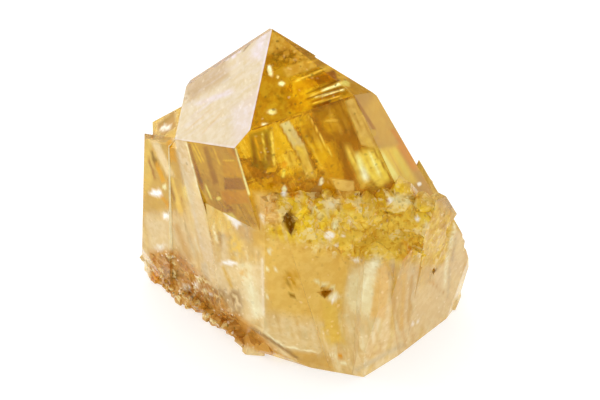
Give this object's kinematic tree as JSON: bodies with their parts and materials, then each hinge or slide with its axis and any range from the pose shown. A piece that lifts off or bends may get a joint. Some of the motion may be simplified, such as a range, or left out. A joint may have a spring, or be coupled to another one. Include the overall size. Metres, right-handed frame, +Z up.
{
  "type": "citrine crystal point",
  "caption": "Natural golden citrine quartz point with smaller crystals grown on to its sides and a flat broken base it stands on.",
  "frame": {"origin": "on the flat broken base, below the middle of the specimen", "axes": "+Z up out of the base, -Y towards the front with the two large bright tip faces, +X to the front's right"},
  "size_m": [0.0523, 0.042, 0.0524],
  "materials": {
    "citrine": "clear golden crystal, milky and frosted towards the foot"
  },
  "bodies": {
    "root": {"citrine_point": "citrine"}
  },
  "joints": []
}
